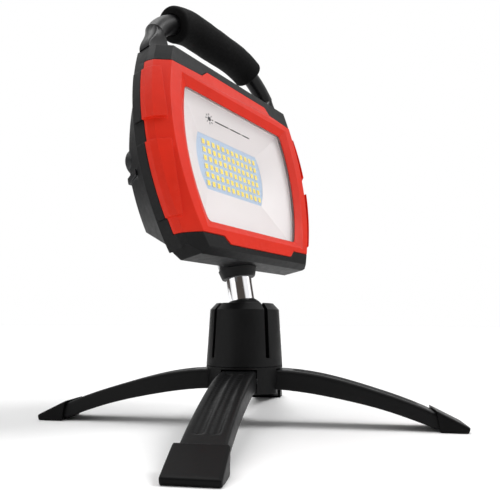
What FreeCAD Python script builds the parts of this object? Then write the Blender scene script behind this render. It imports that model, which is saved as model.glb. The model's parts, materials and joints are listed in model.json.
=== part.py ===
import FreeCAD, Part
import Sketcher
import math
import os
from FreeCAD import Placement, Rotation, Vector

doc = FreeCAD.newDocument("work_light")
sheet = doc.addObject("Spreadsheet::Sheet", "sheet")

# Driving dimensions in millimetres, angles in degrees. Head sizes are in the head's own frame:
# its origin is the centre of the pivot ball, +Z runs up the post and the lamp faces -Y.
DIMENSIONS = {
    # pose at rest
    "base_turn": 26.46,
    "tilt_back": 10.69,
    # base
    "hub_radius": 23.2,
    "hub_bottom": 19.4,
    "hub_split": 34.3,
    "collar_start": 34.7,
    "collar_shoulder": 67.9,
    "collar_top": 71.8,
    "collar_top_radius": 21.3,
    "collar_lip_radius": 17.6,
    "collar_bore": 16.2,
    "collar_bore_top": 56.0,
    "mouth_start": 67.0,
    "mouth_radius": 16.3,
    "slot_width": 2.5,
    "slot_foot": 39.6,
    "spigot_radius": 16.1,
    "spigot_top": 42.0,
    "pivot_reach": 18.0,
    "pivot_height": 26.8,
    "knuckle_radius": 5.7,
    "pin_radius": 1.5,
    "pin_length": 24.2,
    "socket_width": 20.9,
    "socket_wall": 11.9,
    "socket_ceiling": 33.25,
    "leg_width": 20.5,
    "leg_tip": 123.5,
    "cap_width": 24.6,
    # ball joint and post
    "ball_height": 62.4,
    "ball_radius": 14.0,
    "joint_gap": 0.3,
    "post_radius": 8.05,
    "post_top": 46.0,
    "post_bolt": 36.0,
    "sleeve_radius": 11.2,
    "neck_foot": 25.6,
    "neck_foot_radius": 10.4,
    "neck_radius": 12.2,
    # head
    "front_plane": -21.7,
    "bezel_back": -9.5,
    "housing_web": -5.7,
    "housing_back": -1.5,
    "cover_start": -0.2,
    "cover_back": 21.0,
    "head_top": 154.5,
    "head_bottom": 31.5,
    "head_middle": 104.0,
    "crease_top": 60.8,
    "crease_middle": 70.2,
    "crease_bottom": 52.0,
    "facet_width": 9.6,
    "facet_depth": 8.0,
    "pad_height": 1.6,
    "lip_top": 133.4,
    "lip_bottom": 50.6,
    "lip_half_top": 52.0,
    "lip_half_middle": 57.2,
    "lip_half_bottom": 46.8,
    "lens_margin": 3.2,
    "lens_front": -18.4,
    "lens_thickness": 2.2,
    "lens_gasket": 0.6,
    "board_front": -7.3,
    "board_thickness": 1.6,
    "board_centre": 96.0,
    "chip_pitch_x": 5.0,
    "chip_pitch_z": 5.58,
    "sink_thickness": 3.0,
    "cell_radius": 9.15,
    "cell_length": 65.0,
    # handle
    "handle_plane": -7.5,
    "tube_radius": 6.0,
    "foam_radius": 11.4,
    "foam_share": 0.51,
    "grip_height": 191.5,
    "grip_half": 19.6,
    "grip_bend": 48.6,
    "grip_turn": 56.0,
    "blade_width": 18.0,
    "blade_thickness": 8.0,
    "blade_offset": 62.0,
    "tang_width": 15.0,
    "tang_thickness": 6.4,
    "tang_foot": 144.4,
}


def fill_sheet():
    for row, (name, value) in enumerate(DIMENSIONS.items(), start=1):
        sheet.set(f"A{row}", name)
        sheet.set(f"B{row}", str(value))
        sheet.setAlias(f"B{row}", name)
    doc.recompute()


fill_sheet()


def size(name):
    return float(sheet.get(name))


UP = Vector(0, 0, 1)
BASE = Placement(Vector(0, 0, 0), Rotation(UP, size("base_turn")))
BALL = Placement(Vector(0, 0, size("ball_height")), Rotation())
HEAD = Placement(Vector(0, 0, size("ball_height")), Rotation(Vector(1, 0, 0), -size("tilt_back")))
LEG_TURNS = {"front": 0.0, "right": 90.0, "rear": 180.0, "left": 270.0}
nodes = []


# ---------------------------------------------------------------- helpers

def keep(piece, label, placement):
    piece.Label = label
    piece.Placement = placement
    nodes.append(piece)
    return piece


def feature(shape, label, placement):
    piece = doc.addObject("Part::Feature", label)
    piece.Shape = shape
    return keep(piece, label, placement)


def bind(piece, **expressions):
    for name, expression in expressions.items():
        piece.setExpression(name.replace("__", ".Base."), expression)
    return piece


def cylinder(name, radius, height, **place):
    piece = doc.addObject("Part::Cylinder", name)
    return bind(piece, Radius=radius, Height=height, **place)


def cone(name, radius1, radius2, height, **place):
    piece = doc.addObject("Part::Cone", name)
    return bind(piece, Radius1=radius1, Radius2=radius2, Height=height, **place)


def box(name, length, width, height, **place):
    piece = doc.addObject("Part::Box", name)
    return bind(piece, Length=length, Width=width, Height=height, **place)


def cut(name, base, tools):
    fused = doc.addObject("Part::MultiFuse", name + "_tools")
    fused.Shapes = tools
    piece = doc.addObject("Part::Cut", name)
    piece.Base = base
    piece.Tool = fused
    return piece


def fuse(name, pieces):
    piece = doc.addObject("Part::MultiFuse", name)
    piece.Shapes = pieces
    return piece


def new_body(label, placement):
    return keep(doc.addObject("PartDesign::Body", label), label, placement)


def sketch_on(body, role, name):
    sketch = body.newObject("Sketcher::SketchObject", name)
    planes = [item for item in body.Origin.OriginFeatures if item.Role == role]
    sketch.AttachmentSupport = [(planes[0], "")]
    sketch.MapMode = "FlatFace"
    return sketch


def circle_on(body, role, name, radius, x=0.0, y=0.0):
    sketch = sketch_on(body, role, name)
    sketch.addGeometry(Part.Circle(Vector(x, y, 0), UP, 1.0))
    index = sketch.addConstraint(Sketcher.Constraint("Radius", 0, 1.0))
    sketch.setExpression(f"Constraints[{index}]", radius)
    return sketch


def pad(body, sketch, length, reverse=False):
    piece = body.newObject("PartDesign::Pad", sketch.Name + "_pad")
    piece.Profile = sketch
    piece.Reversed = reverse
    piece.setExpression("Length", length)
    body.Tip = piece
    return piece


def pocket(body, sketch, length, reverse=False):
    piece = body.newObject("PartDesign::Pocket", sketch.Name + "_pocket")
    piece.Profile = sketch
    piece.Reversed = reverse
    piece.setExpression("Length", length)
    body.Tip = piece
    return piece


def barrel(top, bottom, middle, half_top, half_middle, half_bottom):
    """Four edges in the x-z plane: flat top and bottom, and sides that bow outwards."""
    a = Vector(-half_top, 0, top)
    b = Vector(half_top, 0, top)
    c = Vector(half_bottom, 0, bottom)
    d = Vector(-half_bottom, 0, bottom)
    right = Part.Arc(b, Vector(half_middle, 0, middle), c)
    left = Part.Arc(d, Vector(-half_middle, 0, middle), a)
    return [Part.LineSegment(a, b), right, Part.LineSegment(c, d), left]


def barrel_wire(edges, y):
    wire = Part.Wire([edge.toShape() for edge in edges])
    wire.translate(Vector(0, y, 0))
    return wire


def slab(edges, front, back):
    face = Part.Face(barrel_wire(edges, front))
    return face.extrude(Vector(0, back - front, 0))


def rounded(solid, radius):
    """Rounds the edges of a slab that run front to back."""
    picked = [edge for edge in solid.Edges if runs_along(edge, Vector(0, 1, 0))]
    return solid.makeFillet(radius, picked)


def runs_along(edge, direction):
    if edge.Curve.TypeId != "Part::GeomLine":
        return False
    tangent = edge.tangentAt(edge.FirstParameter)
    return abs(abs(tangent.dot(direction)) - 1) < 1e-6


def block(x, y, z):
    """A box from three (low, high) pairs."""
    corner = Vector(x[0], y[0], z[0])
    return Part.makeBox(x[1] - x[0], y[1] - y[0], z[1] - z[0], corner)


def rod(start, end, radius):
    return Part.makeCylinder(radius, (end - start).Length, start, end - start)


# ---------------------------------------------------------------- base

def make_hub():
    lower = cone("hub_lower", "sheet.hub_radius * 0.985", "sheet.hub_radius",
                 "sheet.hub_split - sheet.hub_bottom", Placement__z="sheet.hub_bottom")
    spigot = cylinder("hub_spigot", "sheet.spigot_radius", "sheet.spigot_top - sheet.hub_split + 1",
                      Placement__z="sheet.hub_split - 1")
    rest = cylinder("hub_rest", "sheet.hub_radius - 1.4", "sheet.collar_start - sheet.hub_split + 1",
                    Placement__z="sheet.hub_split - 1")
    whole = fuse("hub_blank", [lower, rest, spigot])
    cuts = [cylinder("hub_bore", "9", "30", Placement__z="sheet.hub_bottom + 3")]
    cuts.append(box("hub_plate_seat", "21", "21", "1.6", Placement__x="-10.5", Placement__y="-10.5",
                    Placement__z="sheet.hub_bottom - 0.1"))
    for name, turn in LEG_TURNS.items():
        turned = Rotation(UP, turn)
        socket = box("socket_" + name, "sheet.socket_width", "20", "sheet.socket_ceiling")
        socket.Placement.Rotation = turned
        corner = turned.multVec(Vector(-size("socket_width") / 2, -size("socket_wall") - 20, 0))
        socket.Placement.Base = corner
        pin_hole = cylinder("pin_hole_" + name, "sheet.pin_radius + 0.03", "sheet.pin_length")
        pin_hole.Placement = pin_place(turned)
        cuts += [socket, pin_hole]
    for index in range(4):
        hole = cylinder(f"hub_screw_hole_{index}", "1.6", "60")
        hole.Placement.Base = screw_spot(index)
        recess = cylinder(f"hub_screw_recess_{index}", "2.6", "sheet.hub_bottom + 1.8")
        recess.Placement.Base = screw_spot(index)
        cuts += [hole, recess]
    keep(cut("hub", whole, cuts), "hub_body", BASE)


def pin_place(turned):
    centre = Vector(-size("pin_length") / 2, -size("pivot_reach"), size("pivot_height"))
    across = Rotation(Vector(0, 1, 0), 90)
    return Placement(turned.multVec(centre), turned.multiply(across))


def screw_spot(index):
    angle = math.radians(45 + 90 * index)
    return Vector(19.7 * math.cos(angle), 19.7 * math.sin(angle), 0)


def make_hinge_pins():
    pins = [Part.makeCylinder(size("pin_radius"), size("pin_length")) for _ in LEG_TURNS]
    for pin, turn in zip(pins, LEG_TURNS.values()):
        pin.Placement = pin_place(Rotation(UP, turn))
    feature(Part.makeCompound(pins), "leg_hinge_pins", BASE)


def make_collar():
    outer = cone("collar_outer", "sheet.hub_radius", "sheet.collar_top_radius",
                 "sheet.collar_shoulder - sheet.collar_start", Placement__z="sheet.collar_start")
    shoulder = cone("collar_bevel", "sheet.collar_top_radius", "sheet.collar_lip_radius",
                    "sheet.collar_top - sheet.collar_shoulder", Placement__z="sheet.collar_shoulder")
    blank = fuse("collar_blank", [outer, shoulder])
    cavity = "sheet.ball_radius + sheet.joint_gap + 0.05"
    dome = doc.addObject("Part::Sphere", "collar_dome")
    bind(dome, Radius=cavity, Placement__z="sheet.ball_height")
    cuts = [
        dome,
        cylinder("collar_barrel", cavity, "10", Placement__z="sheet.ball_height - 10"),
        cylinder("collar_bore", "sheet.collar_bore", "sheet.collar_bore_top - sheet.collar_start + 1",
                 Placement__z="sheet.collar_start - 1"),
        cone("collar_mouth", "13.4", "sheet.mouth_radius", "sheet.collar_top - sheet.mouth_start",
             Placement__z="sheet.mouth_start"),
    ]
    for index in range(2):
        slot = box(f"collar_slot_{index}", "60", "sheet.slot_width", "40", Placement__z="sheet.slot_foot")
        slot.Placement.Rotation = Rotation(UP, 45 + 90 * index)
        shift = Rotation(UP, 45 + 90 * index).multVec(Vector(-30, -size("slot_width") / 2, 0))
        slot.Placement.Base = Vector(shift.x, shift.y, size("slot_foot"))
        cuts.append(slot)
    for index in range(4):
        hole = cylinder(f"collar_screw_hole_{index}", "1.47", "39.2")
        hole.Placement.Base = screw_spot(index)
        cuts.append(hole)
    keep(cut("collar", blank, cuts), "socket_collar", BASE)


def make_collar_screws():
    """Self-tapping screws that hold the socket collar down on the hub, from below."""
    screws = []
    for index in range(4):
        foot = screw_spot(index) + Vector(0, 0, size("hub_bottom") + 1.8)
        shank = Part.makeCylinder(1.45, 17.3, foot)
        head = Part.makeCylinder(2.5, 1.4, foot - Vector(0, 0, 1.4))
        screws.append(shank.fuse(head))
    feature(Part.makeCompound(screws), "collar_screws", BASE)


def make_bottom_plate():
    body = new_body("hub_bottom_plate", BASE)
    sketch = sketch_on(body, "XY_Plane", "plate_outline")
    half = 10.3
    corners = [Vector(-half, -half, 0), Vector(half, -half, 0), Vector(half, half, 0), Vector(-half, half, 0)]
    for index in range(4):
        sketch.addGeometry(Part.LineSegment(corners[index], corners[(index + 1) % 4]))
    sketch.setExpression("AttachmentOffset.Base.z", "sheet.hub_bottom")
    pad(body, sketch, "1.5")


def make_spring_washer():
    body = new_body("seat_spring_washer", BASE)
    ring = circle_on(body, "XY_Plane", "washer_outer", "sheet.collar_bore - 0.6")
    ring.setExpression("AttachmentOffset.Base.z", "sheet.spigot_top")
    pad(body, ring, "2.6")
    hole = circle_on(body, "XY_Plane", "washer_inner", "9.5")
    hole.setExpression("AttachmentOffset.Base.z", "sheet.spigot_top")
    pocket(body, hole, "2.6", reverse=True)


def make_ball_seat():
    """Ring that the ball sits in; it turns with the ball's pan."""
    outer = cylinder("seat_outer", "sheet.collar_bore - sheet.joint_gap", "9.4", Placement__z="45.1")
    dish = doc.addObject("Part::Sphere", "seat_dish")
    bind(dish, Radius="sheet.ball_radius + sheet.joint_gap", Placement__z="sheet.ball_height")
    hole = cylinder("seat_hole", "6", "20", Placement__z="40")
    keep(cut("seat", outer, [dish, hole]), "ball_seat", Placement())


def make_ball():
    """Ball on the foot of the post, bored for the post's end."""
    ball = Part.makeSphere(size("ball_radius"))
    bore = Part.makeCylinder(size("post_radius") + 0.02, 20, Vector(0, 0, 2.0))
    feature(ball.cut(bore), "pivot_ball", HEAD)


# The leg is drawn at the front, reaching along -Y, as (reach, height) points.
LEG_TOP = [(18, 32.75), (30, 32.2), (48, 29.7), (76, 22.5), (106, 12.2), (123.5, 3.4)]
LEG_UNDER = [(123.5, 1.4), (109.5, 1.4), (98, 5.6), (80, 11.2), (57.5, 16.2), (38, 19.4), (18, 21.1)]
CAP_SIDE = [(111.2, 0.0), (126.8, 0.0), (128.0, 3.2), (109.6, 12.3)]


def leg_curve(points):
    curve = Part.BSplineCurve()
    curve.interpolate([Vector(0, -reach, height) for reach, height in points])
    return curve.toShape()


def leg_profile():
    top = leg_curve(LEG_TOP)
    under = leg_curve(LEG_UNDER[1:])
    tip = Part.makePolygon([Vector(0, -r, h) for r, h in [LEG_TOP[-1], LEG_UNDER[0], LEG_UNDER[1]]])
    root = Part.makePolygon([Vector(0, -r, h) for r, h in [LEG_UNDER[-1], LEG_TOP[0]]])
    return Part.Wire(Part.__sortEdges__([top] + tip.Edges + [under] + root.Edges))


def leg_groove(offset):
    """A long shallow groove along the top of the leg."""
    deep = [(reach, height - 1.3) for reach, height in LEG_TOP[1:4]] + [(101, 12.8)]
    low = leg_curve(deep)
    high = leg_curve([(reach, height + 6) for reach, height in deep])
    ends = [Part.makeLine(low.Vertexes[0].Point, high.Vertexes[0].Point),
            Part.makeLine(low.Vertexes[-1].Point, high.Vertexes[-1].Point)]
    face = Part.Face(Part.Wire(Part.__sortEdges__([low, high] + ends)))
    face.translate(Vector(offset - 1.9, 0, 0))
    return face.extrude(Vector(3.8, 0, 0))


def make_legs():
    width = size("leg_width")
    face = Part.Face(leg_profile())
    face.translate(Vector(-width / 2, 0, 0))
    arm = face.extrude(Vector(width, 0, 0))
    pivot = Vector(-width / 2, -size("pivot_reach"), size("pivot_height"))
    knuckle = Part.makeCylinder(size("knuckle_radius"), width, pivot, Vector(1, 0, 0))
    pin_start = pivot - Vector(1, 0, 0)
    pin_hole = Part.makeCylinder(size("pin_radius") + 0.05, width + 2, pin_start, Vector(1, 0, 0))
    long_edges = [edge for edge in arm.Edges if edge.Curve.TypeId == "Part::GeomBSplineCurve"]
    top_edges = [edge for edge in long_edges if edge.BoundBox.ZMax > 30]
    arm = arm.makeFillet(1.3, top_edges)
    arm = arm.fuse(knuckle).cut(pin_hole).removeSplitter()
    for offset in (-3.5, 3.5):
        arm = arm.cut(leg_groove(offset))
    shoe = make_cap_shape().cut(arm)
    for name, turn in LEG_TURNS.items():
        place = BASE.multiply(Placement(Vector(), Rotation(UP, turn)))
        feature(arm.copy(), "leg_" + name, place)
        feature(shoe.copy(), "foot_cap_" + name, place)


def make_cap_shape():
    width = size("cap_width")
    corners = [Vector(-width / 2, -reach, height) for reach, height in CAP_SIDE]
    face = Part.Face(Part.makePolygon(corners + corners[:1]))
    shoe = face.extrude(Vector(width, 0, 0))
    upper = [edge for edge in shoe.Edges if edge.BoundBox.YMin < -126 and edge.BoundBox.ZMax > 3]
    return shoe.makeFillet(1.1, upper)


# ---------------------------------------------------------------- post and neck

def make_post():
    body = new_body("chrome_post", HEAD)
    outline = circle_on(body, "XY_Plane", "post_circle", "sheet.post_radius - 0.01")
    outline.setExpression("AttachmentOffset.Base.z", "2.02")
    pad(body, outline, "sheet.post_top - 2.02")
    bore = circle_on(body, "XY_Plane", "post_bore", "6.2")
    bore.setExpression("AttachmentOffset.Base.z", "2.02")
    pocket(body, bore, "sheet.post_top - 2.02", reverse=True)
    hole = circle_on(body, "XZ_Plane", "post_bolt_hole", "2.05", 0, size("post_bolt"))
    across = pocket(body, hole, "40")
    across.Midplane = True


def make_post_bolt():
    """Cross bolt that pins the post inside the housing's sleeve."""
    z = size("post_bolt")
    shank = rod(Vector(0, -10.9, z), Vector(0, 10.4, z), 2.0)
    head = rod(Vector(0, 10.4, z), Vector(0, 12.6, z), 3.3)
    feature(shank.fuse(head), "post_cross_bolt", HEAD)


def make_neck():
    body = Part.makeCone(size("neck_foot_radius"), size("neck_radius"), 6.2, Vector(0, 0, size("neck_foot")))
    rim = [edge for edge in body.Edges if edge.BoundBox.ZMax < size("neck_foot") + 0.1]
    body = body.makeFillet(1.2, rim)
    bore = Part.makeCylinder(size("post_radius") + 0.02, 20, Vector(0, 0, 20))
    body = body.cut(bore)
    body = body.common(block((-20, 20), (-20, 20), (size("neck_foot") - 1, size("head_bottom") - 0.02)))
    feature(body, "neck_collar", HEAD)


# ---------------------------------------------------------------- head shells

def outer_edges(grow):
    """Barrel outline of the head, seen from the front, at its widest depth."""
    extra = size("facet_width") + grow
    return barrel(size("head_top"), size("head_bottom"), size("head_middle"),
                  size("crease_top") + extra, size("crease_middle") + extra, size("crease_bottom") + extra)


def lip_edges(grow):
    """Outline of the window's inner lip, grown outwards by an amount."""
    return barrel(size("lip_top") + grow, size("lip_bottom") - grow, 98.0, size("lip_half_top") + grow,
                  size("lip_half_middle") + grow, size("lip_half_bottom") + grow)


def board_edges(grow):
    """Outline of the opening over the circuit board."""
    return barrel(115.0 + grow, 77.6 - grow, 99.0, 31.3 + grow, 35.0 + grow, 29.0 + grow)


def faceted_block(shift=0.0):
    """The head's outer block: bowed sides with two bevels along each side's front edge."""
    front = size("front_plane")
    solid = slab(outer_edges(0), front, size("housing_back"))
    corner_cut = 7.0
    solid = solid.cut(corner_wedge(1, corner_cut)).cut(corner_wedge(-1, corner_cut))
    sides = [edge for edge in solid.Edges if bowed(edge) and edge.BoundBox.YMax < front + 0.01]
    solid = bevel(solid, sides, size("facet_width"), size("facet_depth"))
    step = front + size("facet_depth")
    inner = [edge for edge in solid.Edges if bowed(edge) and abs(edge.BoundBox.YMax - step) < 0.4]
    solid = solid.makeChamfer(2.2, inner)
    if shift:
        solid.translate(Vector(shift, -abs(shift), 0))
    return solid


def bowed(edge):
    return edge.BoundBox.ZLength > 60 and edge.BoundBox.YLength < 1.0


def bevel(solid, edges, across, deep):
    """Bevel with different legs; the leg along the front face is the wider one."""
    first = solid.makeChamfer(across, deep, edges)
    second = solid.makeChamfer(deep, across, edges)
    front = size("front_plane")
    widths = [front_width(shape, front) for shape in (first, second)]
    return first if widths[0] < widths[1] else second


def front_width(shape, y):
    faces = [face for face in shape.Faces if face.BoundBox.YLength < 0.01 and abs(face.CenterOfMass.y - y) < 0.01]
    return max(face.BoundBox.XLength for face in faces)


def corner_wedge(side, leg):
    """Takes the sharp lower corner off."""
    x = side * (size("crease_bottom") + size("facet_width") + 1.5)
    low = size("head_bottom")
    points = [Vector(x, -40, low - 1), Vector(x, -40, low + leg * 0.75), Vector(x - side * leg * 1.4, -40, low - 1)]
    return Part.Face(Part.makePolygon(points + points[:1])).extrude(Vector(0, 80, 0))


PAD_BANDS = [(104.5, 136.5), (50.5, 91.5)]


def side_pads(y_range):
    """Raised protective pads on the sides, two each side."""
    zone = slab(barrel(size("head_top") + 20, size("head_bottom") - 20, size("head_middle"),
                       size("crease_top") + 4, size("crease_middle") + 3.4, size("crease_bottom") + 4), -60, 60)
    pads = []
    for side in (-1, 1):
        moved = faceted_block(side * size("pad_height")).cut(zone)
        for low, high in PAD_BANDS:
            x_range = (0, 120) if side > 0 else (-120, 0)
            pads.append(moved.common(block(x_range, y_range, (low, high))))
    return pads


def red_zone(gap, front, back):
    """The region, seen from the front, that the bezel fills: raised in the middle at top and bottom."""
    top = [(-120, 142.9), (-61.5, 142.9), (-37.8, 144.3), (-32.2, 148.8),
           (32.2, 148.8), (37.8, 144.3), (61.5, 142.9), (120, 142.9)]
    low = [(120, 42.4), (38.2, 42.4), (33.2, 38.0), (-33.2, 38.0), (-38.2, 42.4), (-120, 42.4)]
    points = [Vector(x, front, z + gap) for x, z in top] + [Vector(x, front, z - gap) for x, z in low]
    return Part.Face(Part.makePolygon(points + points[:1])).extrude(Vector(0, back - front, 0))


def make_bezel(shell):
    front = size("front_plane")
    back = size("bezel_back")
    solid = shell.common(red_zone(0, -60, back))
    for raised in side_pads((-60, back)):
        solid = solid.fuse(raised)
    solid = solid.removeSplitter()
    window = rounded(slab(lip_edges(0), -60, 20), 4.0)
    flare = flare_cut(front)
    seat = slab(lip_edges(size("lens_margin") + 0.2), size("lens_front"), 20)
    solid = solid.cut(window).cut(flare).cut(seat)
    channel = slab(lip_edges(size("lens_margin") + 7.6), -17.0, 20)
    channel = channel.cut(slab(lip_edges(size("lens_margin") + 3.0), -30, 20))
    channel = channel.common(block((-80, 80), (-30, 30), (47, 136)))
    solid = solid.cut(channel)
    for x, z in BEZEL_SCREWS:
        solid = solid.cut(rod(Vector(x, -14.2, z), Vector(x, 0, z), 1.22))
    feature(solid, "front_bezel", HEAD)


def flare_cut(front):
    """Sloped wall from the front face in to the window's lip."""
    wide = barrel_wire(lip_edges(4.9 + 1.0), front - 0.6)
    narrow = barrel_wire(lip_edges(0), size("lens_front") - 0.3)
    return Part.makeLoft([wide, narrow], True, True)


def make_housing(shell):
    back = size("housing_back")
    solid = shell.common(block((-120, 120), (size("front_plane") + 0.4, back), (0, 200)))
    for raised in side_pads((size("bezel_back") + 0.15, back)):
        solid = solid.fuse(raised)
    solid = solid.cut(red_zone(0.15, -60, size("bezel_back") + 0.15))
    web = size("housing_web")
    solid = solid.cut(slab(cover_outline(4.0, 0), web, 20)).cut(chin())
    solid = solid.cut(block((-46, 46), (-60, 60), (65, 127)))
    solid = solid.fuse(post_sleeve())
    for x, z in COVER_SCREWS:
        solid = solid.fuse(rod(Vector(x, web - 0.5, z), Vector(x, back, z), 3.4))
        solid = solid.cut(rod(Vector(x, web + 0.6, z), Vector(x, 0, z), 1.42))
    for x, z in BEZEL_SCREWS:
        solid = solid.cut(rod(Vector(x, -14, z), Vector(x, 0, z), 1.3))
        solid = solid.cut(rod(Vector(x, web, z), Vector(x, 0, z), 2.15))
    solid = solid.cut(Part.makeCylinder(size("post_radius") + 0.02, 40, Vector(0, 0, 20)))
    z = size("post_bolt")
    solid = solid.cut(rod(Vector(0, -11, z), Vector(0, 20, z), 2.05))
    solid = solid.cut(rod(Vector(0, 10.4, z), Vector(0, 20, z), 3.5))
    for side in (-1, 1):
        solid = solid.cut(handle_slot(side))
        x = side * size("blade_offset")
        solid = solid.cut(rod(Vector(x, -14.1, HANDLE_BOLT), Vector(x, 0, HANDLE_BOLT), 1.62))
        solid = solid.cut(rod(Vector(x, -3.6, HANDLE_BOLT), Vector(x, 0, HANDLE_BOLT), 2.6))
    feature(solid.removeSplitter(), "main_housing", HEAD)


def chin():
    """Bevel along the housing's front edge underneath."""
    points = [Vector(-100, y, z) for y, z in [(-25.8, 37.5), (-12.3, 28.5), (-25.8, 28.5)]]
    return Part.Face(Part.makePolygon(points + points[:1])).extrude(Vector(200, 0, 0))


def post_sleeve():
    outer = Part.makeCylinder(size("sleeve_radius"), 16, Vector(0, 0, size("head_bottom")))
    return outer.common(block((-20, 20), (-9.3, 20), (0, 200)))


def sleeve_room():
    return Part.makeCylinder(size("sleeve_radius") + 0.15, 28, Vector(0, 0, 20))


def handle_slot(side):
    centre = side * size("blade_offset")
    half = size("tang_width") / 2 + 0.05
    y = size("handle_plane")
    deep = size("tang_thickness") / 2 + 0.05
    return block((centre - half, centre + half), (y - deep, y + deep), (size("tang_foot") - 0.1, 170))


BEZEL_SCREWS = [(-45.0, 140.0), (45.0, 140.0), (-45.0, 44.7), (45.0, 44.7)]
COVER_SCREWS = [(-60.0, 138.0), (60.0, 138.0), (-50.5, 59.5), (50.5, 59.5)]
HANDLE_BOLT = 150.6


def make_bezel_screws():
    web = size("housing_web")
    screws = []
    for x, z in BEZEL_SCREWS:
        shank = rod(Vector(x, -14.0, z), Vector(x, web, z), 1.2)
        head = rod(Vector(x, web, z), Vector(x, web + 1.8, z), 2.0)
        screws.append(shank.fuse(head))
    feature(Part.makeCompound(screws), "bezel_screws", HEAD)


def cover_outline(inset, depth_share):
    """Outline of the rear cover; depth_share is 0 at the seam and 1 at the back."""
    taper = 7.0 * depth_share + inset
    return barrel(148.0 - 6 * depth_share - inset, 39.5 + 14.5 * depth_share + inset, 100.0,
                  65.0 - taper, 75.0 - 10.0 * depth_share - inset, 63.0 - taper)


def cover_block(inset):
    start = size("cover_start")
    back = size("cover_back") - inset
    wires = [barrel_wire(cover_outline(inset, 0), start), barrel_wire(cover_outline(inset, 1), back)]
    solid = Part.makeLoft(wires, True, True)
    slope = [Vector(-100, back, 84), Vector(-100, back - 16.4, 150), Vector(-100, 60, 150), Vector(-100, 60, 84)]
    wedge = Part.Face(Part.makePolygon(slope + slope[:1])).extrude(Vector(200, 0, 0))
    return solid.cut(wedge)


BUTTON_SPOT = Vector(-59.5, 0, 96.0)
SLOPE_ANGLE = math.degrees(math.atan2(16.4, 66))
PORT_SPOT = (36.0, 64.0)


def button_frame():
    """Placement, in the head, of the button's axis: square to the sloping upper back, +Z outwards."""
    y = size("cover_back") - (BUTTON_SPOT.z - 84) * math.tan(math.radians(SLOPE_ANGLE))
    turn = Rotation(Vector(1, 0, 0), -90 + SLOPE_ANGLE)
    return Placement(Vector(BUTTON_SPOT.x, y, BUTTON_SPOT.z), turn)


def in_button(shape):
    shape.Placement = button_frame().multiply(shape.Placement)
    return shape


def make_rear_cover():
    solid = cover_block(0).cut(cover_block(2.4))
    tray = cover_ledge()
    solid = solid.fuse(tray)
    boss = in_button(Part.makeCone(9.0, 8.0, 6.2, Vector(0, 0, -4.0)))
    solid = solid.fuse(boss.cut(cover_block(2.4)))
    solid = solid.cut(in_button(Part.makeCylinder(6.3, 30, Vector(0, 0, -12))))
    x, z = PORT_SPOT
    back = size("cover_back")
    solid = solid.fuse(block((x - 6.5, x + 6.5), (back - 7, back - 2), (z - 3.6, z + 3.6)))
    solid = solid.cut(block((x - 4.55, x + 4.55), (back - 8, back + 2), (z - 1.65, z + 1.65)))
    solid = solid.cut(block((x - 9.3, x + 9.3), (back - 1.5, back + 2), (z - 6.3, z + 9.6)))
    for x, z in COVER_SCREWS:
        pillar = rod(Vector(x, size("cover_start"), z), Vector(x, back, z), 4.2)
        solid = solid.fuse(pillar.common(cover_block(0.5)))
        solid = solid.cut(rod(Vector(x, -5, z), Vector(x, 30, z), 1.55))
        solid = solid.cut(rod(Vector(x, 5.0, z), Vector(x, 40, z), 3.0))
    feature(solid.cut(sleeve_room()).removeSplitter(), "rear_cover", HEAD)


def cover_ledge():
    """A rib across each side and the back, above the long flat box at the rear."""
    grown = cover_block(-1.2)
    return grown.common(block((-100, 100), (9, 60), (82.0, 85.6))).cut(cover_block(2.0))


def make_cover_screws():
    screws = []
    for x, z in COVER_SCREWS:
        shank = rod(Vector(x, -4.6, z), Vector(x, 5.0, z), 1.4)
        head = rod(Vector(x, 5.0, z), Vector(x, 7.2, z), 2.7)
        screws.append(shank.fuse(head))
    feature(Part.makeCompound(screws), "cover_screws", HEAD)


def ring(edges_outer, edges_inner, front, back):
    return slab(edges_outer, front, back).cut(slab(edges_inner, front - 1, back + 1))


def make_seals():
    lens_back = size("lens_front") + size("lens_thickness")
    gasket_back = lens_back + size("lens_gasket")
    feature(ring(lip_edges(size("lens_margin")), lip_edges(0.4), lens_back, gasket_back), "lens_gasket", HEAD)
    gasket = ring(cover_outline(1.6, 0), cover_outline(3.0, 0), size("housing_back"), size("cover_start"))
    feature(gasket.cut(sleeve_room()), "cover_gasket", HEAD)


# ---------------------------------------------------------------- optics and electronics

def make_lens():
    body = new_body("glass_lens", HEAD)
    sketch = sketch_on(body, "XZ_Plane", "lens_outline")
    for edge in lip_edges(size("lens_margin")):
        flat = edge.toShape()
        flat.rotate(Vector(), Vector(1, 0, 0), -90)
        sketch.addGeometry(flat_curve(flat))
    sketch.setExpression("AttachmentOffset.Base.z", "-sheet.lens_front")
    pad(body, sketch, "sheet.lens_thickness", reverse=True)


def flat_curve(edge):
    """Line or arc of a flat edge, for a sketch."""
    first, last = edge.Vertexes[0].Point, edge.Vertexes[-1].Point
    if edge.Curve.TypeId == "Part::GeomLine":
        return Part.LineSegment(first, last)
    middle = edge.valueAt((edge.FirstParameter + edge.LastParameter) / 2)
    return Part.Arc(first, middle, last)


def make_reflector():
    front = size("lens_front") + size("lens_thickness") + size("lens_gasket")
    floor = size("board_front") - 0.2
    skin = 1.2
    hollow = Part.makeLoft([barrel_wire(lip_edges(0.4), front - 0.01), barrel_wire(board_edges(0), floor + 0.01)],
                           True, True)
    shell = Part.makeLoft([barrel_wire(lip_edges(0.4 + skin), front), barrel_wire(board_edges(skin), floor)],
                          True, True)
    flange = slab(lip_edges(size("lens_margin")), front, front + 1.2).cut(hollow)
    feature(shell.cut(hollow).fuse(flange).removeSplitter(), "reflector", HEAD)


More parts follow.
